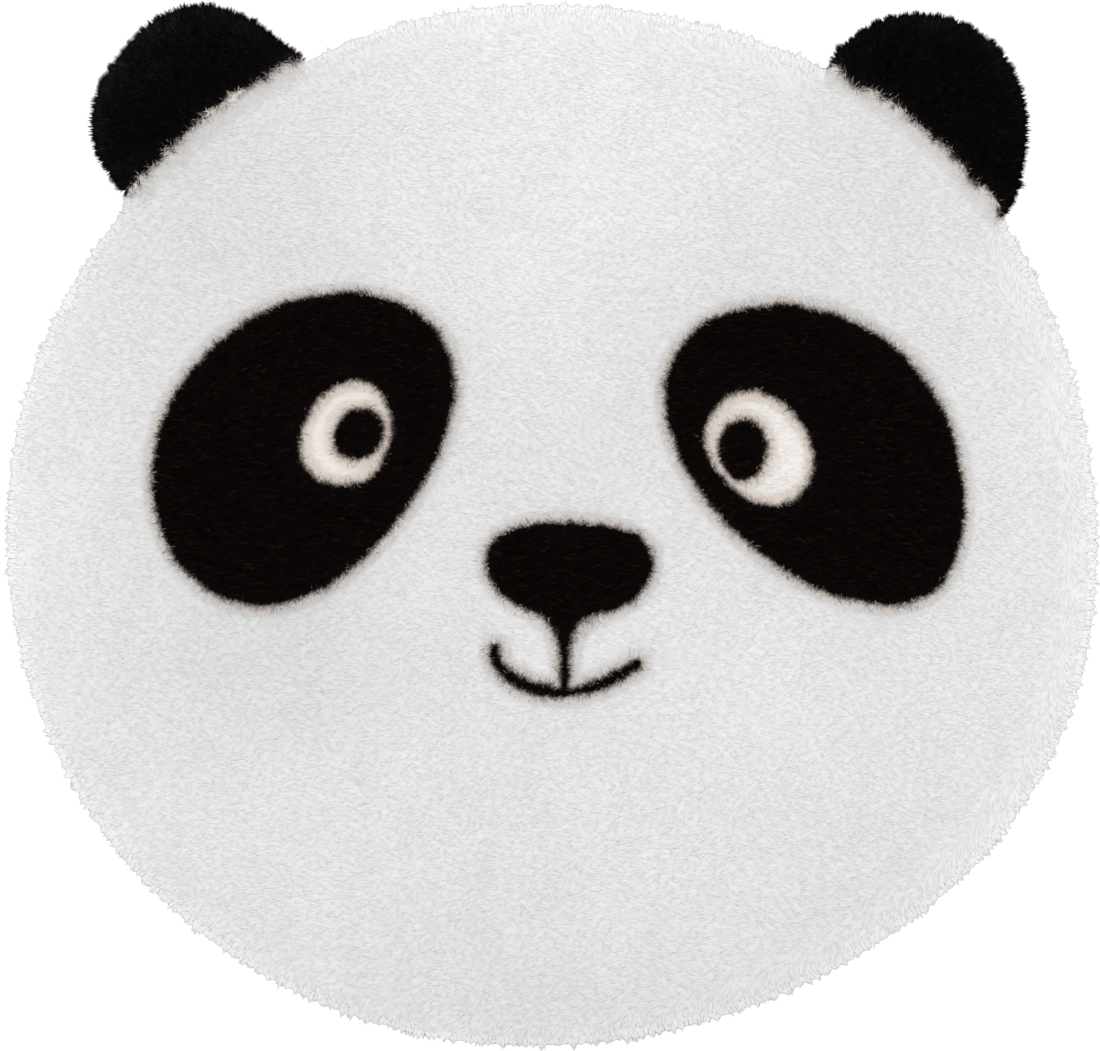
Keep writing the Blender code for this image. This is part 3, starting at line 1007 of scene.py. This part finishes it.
def addSeamFringe(name):
    rng = np.random.default_rng(fringeForm["seed"])
    x, y = gridPoints("head", fringeForm["spacing"], rng)
    deeper = fringeForm["depthLeast"] + fringeForm["depthSpread"] * rng.random(len(x))
    near = underEar(x, y) & (headInset(x, y) < fringeForm["depth"] * deeper)
    x, y = x[near], y[near]
    for side in ("left", "right"):
        earX, earY = gridPoints(side, fringeForm["spacing"], rng)
        close = headInset(earX, earY) > -fringeForm["earDepth"]
        x, y = np.append(x, earX[close]), np.append(y, earY[close])
    way = np.where(rng.random(len(x)) < fringeForm["outwards"], -1.0, 1.0)
    stray = randomLevel(rng, len(x)) * fringeForm["stray"]
    level = unit(stray + levelGradient(headInset, x, y) * way[:, None])
    return joinTufts(name, "head", growTufts("head", fringeForm, x, y, level, rng))


# rims: locks of longer fibres that hang out over the cloth's edge, down to the floor
# a row has its roots' inset from the cloth's edge, its share of the lock's reach, and the heights of
# its roots and tips; a row with no root height grows on the top of the bed
earLocks = {"pitch": 0.0078, "uneven": 0.5, "reach": 0.006, "reachSpread": 0.0012, "swing": 0.0016,
            "scallop": 0.5, "ragged": 0.22, "wobble": 0.0036, "wobbleSize": 0.012, "gather": 0.4,
            "radius": 0.00034, "spacing": 0.00038, "hair": 0.22, "lift": 1.0, "tipLift": 0.0,
            "flat": 0.35, "roll": 0.2, "topWidth": 1.0}
# the tip lift paints a lock lighter towards its tip, against the shade at the rim
rimForm = {
    "head": {"pitch": 0.0046, "uneven": 0.6, "reach": 0.0058, "reachSpread": 0.0018, "swing": 0.0015,
             "scallop": 0.8, "ragged": 0.16, "wobble": 0.0022, "wobbleSize": 0.013, "gather": 0.35,
             "radius": 0.00058, "spacing": 0.00064, "hair": 0.12, "seed": 41, "lift": 1.03,
             "tipLift": 0.13, "flat": 0.05, "roll": 0.06, "topWidth": 1.7},
    "left": {**earLocks, "seed": 42},
    "right": {**earLocks, "seed": 43},
    # a row's light is painted light, that makes the lower rows lighter against the shade of the rows above
    # them
    "rows": [
        {"inset": 0.002, "root": None, "tip": 0.0079, "share": 0.72},
        {"inset": -0.0002, "root": None, "tip": 0.0062, "share": 1.0},
        {"inset": -0.0013, "root": 0.0052, "tip": 0.0046, "share": 0.88, "light": 1.12},
        {"inset": -0.0013, "root": 0.0032, "tip": 0.0028, "share": 0.8, "light": 1.24},
        {"inset": -0.0013, "root": 0.0014, "tip": 0.001, "share": 0.7, "light": 1.32},
    ],
    "sunk": 0.001,
    "ringPoints": 6000,
    "lockMost": 1.6,          # no lock differs from its mean by more than this many deviations
    "lockPoint": 1.6,         # how pointed a lock's end is
    "lockTone": 0.02,
    "stray": 0.0004,          # how far a tip strays along the rim
    "insetSpread": 0.2,
    "tipSpread": 0.12,
    "hairReach": 1.55,        # fibres that stand out by themselves are longer and finer
    "hairRadius": 0.5,
    "upright": 0.1,           # how far the shading leans outward
    "tuck": 0.65,             # how much shorter the head's locks are next to an ear
    "tuckFrom": 0.022,
    "freeFrom": 0.006,        # a lock grows where this far out is clear of the other piece
    "freeGap": 0.0005,
}


def drawLocks(side, ring, length, rng):
    # where each lock ends along the rim, how far it reaches, how it swings aside and its tone
    form = rimForm[side]
    count, most = int(length[-1] / form["pitch"]), rimForm["lockMost"]
    widths = np.exp(form["uneven"] * rng.normal(size=count))
    ends = np.concatenate([[0.0], np.cumsum(widths)]) * length[-1] / widths.sum()
    reach = form["reach"] + form["reachSpread"] * bell(rng, count, most)
    x, y = alongRing((ends[1:] + ends[:-1]) / 2, length, ring).T
    reach += form["wobble"] * noiseAt(x, y, form["wobbleSize"], form["seed"])
    if side == "head":
        reach *= 1.0 - rimForm["tuck"] * softStep(1.0 + nearerEar(x, y) / rimForm["tuckFrom"])
    swing = form["swing"] * bell(rng, count, most)
    tone = 1.0 + rimForm["lockTone"] * rng.normal(size=count)
    return {"ends": ends, "reach": reach, "swing": swing, "tone": tone}


def growRow(side, row, locks, ring, length, rng):
    # one row of fibres all along the rim, gathered into the locks
    form, total = rimForm[side], length[-1]
    count, ends = int(total / form["spacing"]), locks["ends"]
    at = (np.arange(count) + rng.uniform(-0.5, 0.5, count)) * total / count % total
    lock = np.clip(np.searchsorted(ends, at, side="right") - 1, 0, len(ends) - 2)
    middle, half = (ends[lock] + ends[lock + 1]) / 2, (ends[lock + 1] - ends[lock]) / 2
    place = alongRing(at, length, ring)
    along = unit(alongRing(at + 0.001, length, ring) - place)
    outward = np.stack([along[:, 1], -along[:, 0]], 1)
    scallop = form["scallop"] * np.minimum(half / form["pitch"], 1.0)
    reach = 1.0 - scallop * np.abs((at - middle) / half) ** rimForm["lockPoint"]
    reach = locks["reach"][lock] * reach * row["share"]
    reach = reach * (1.0 + form["ragged"] * bell(rng, count, tuftForm["most"]))
    hair = rng.random(count) < form["hair"]
    reach = np.where(hair, reach * rimForm["hairReach"], reach)
    radius = form["radius"] * (1.0 + tuftForm["radiusSpread"] * bell(rng, count, tuftForm["most"]))
    radius = np.where(hair, radius * rimForm["hairRadius"], radius)
    sideways = (middle - at) * form["gather"] + locks["swing"][lock]
    sideways = sideways + rng.normal(0.0, rimForm["stray"], count)
    inset = row["inset"] * (1.0 + rimForm["insetSpread"] * rng.uniform(-1.0, 1.0, count))
    base = place - outward * inset[:, None]
    if row["root"] is None:
        radius = radius * form["topWidth"]
        height = pileTop(side, base[:, 0], base[:, 1]) - bedForm["pileOver"] - rimForm["sunk"]
    else:
        height = np.full(count, row["root"])
    root = np.column_stack([base, height])
    tipHeight = row["tip"] * (1.0 + rimForm["tipSpread"] * rng.uniform(-1.0, 1.0, count))
    tip = np.column_stack([place + outward * reach[:, None] + along * sideways[:, None], tipHeight])
    x, y = (place + outward * rimForm["freeFrom"]).T
    if side == "head":
        free = ~underEar(x, y, rimForm["freeGap"])
    else:
        free = headInset(x, y) < -rimForm["freeGap"]
    tufts = finishTufts(side, form, rng, {
        "root": root[free],
        "run": (tip - root)[free],
        "radius": radius[free],
        "upright": unit(np.column_stack([outward * rimForm["upright"], np.ones(count)]))[free],
    })
    # each lock's own tone, and a row's painted light against the shade of the rows above
    tufts["tone"] = tufts["tone"] * locks["tone"][lock][free] * row.get("light", 1.0)
    return tufts


def growRim(side):
    rng = np.random.default_rng(rimForm[side]["seed"])
    ring = edgeRing(side, rimForm["ringPoints"], insetOf)
    length = lengthAlong(ring)
    locks = drawLocks(side, ring, length, rng)
    parts = [growRow(side, row, locks, ring, length, rng) for row in rimForm["rows"]]
    return {key: np.concatenate([part[key] for part in parts]) for key in parts[0]}


def addRim(side, name):
    return joinTufts(name, side, growRim(side))


beds = {side: addBed(side, solid + "_cloth") for side, solid in solids.items()}
print("cloth beds ready")

piles = {
    "head": addPile("head", "head_pile", 4) + [
        addBorders("head_marks_border"),
        addRim("head", "head_rim_locks"),
        addSeamFringe("head_seam_fringe"),
    ],
    "left": addPile("left", "ear_left_pile", 1) + [addRim("left", "ear_left_rim_locks")],
    "right": addPile("right", "ear_right_pile", 1) + [addRim("right", "ear_right_rim_locks")],
}

for side, bed in beds.items():
    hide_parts(solids[side])
    for piece in [bed] + piles[side]:
        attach(piece, "root")


def flatCut(side):
    ring = edgeRing(side, bedForm["cutPoints"], insetOf)
    x, y = ring[:, 0], ring[:, 1]
    area = 0.5 * abs(float(np.sum(x * np.roll(y, -1) - y * np.roll(x, -1))))
    return area, float(np.ptp(x)), float(np.ptp(y))


for side, bed in beds.items():
    area, width, depth = flatCut(side)
    print(bed.name, "is cut from", round(width, 3), "by", round(depth, 3), "m")

triangles = sum(len(face.vertices) - 2 for side, bed in beds.items()
                for piece in [bed] + piles[side] for face in piece.data.polygons)
print("triangles in all:", triangles)
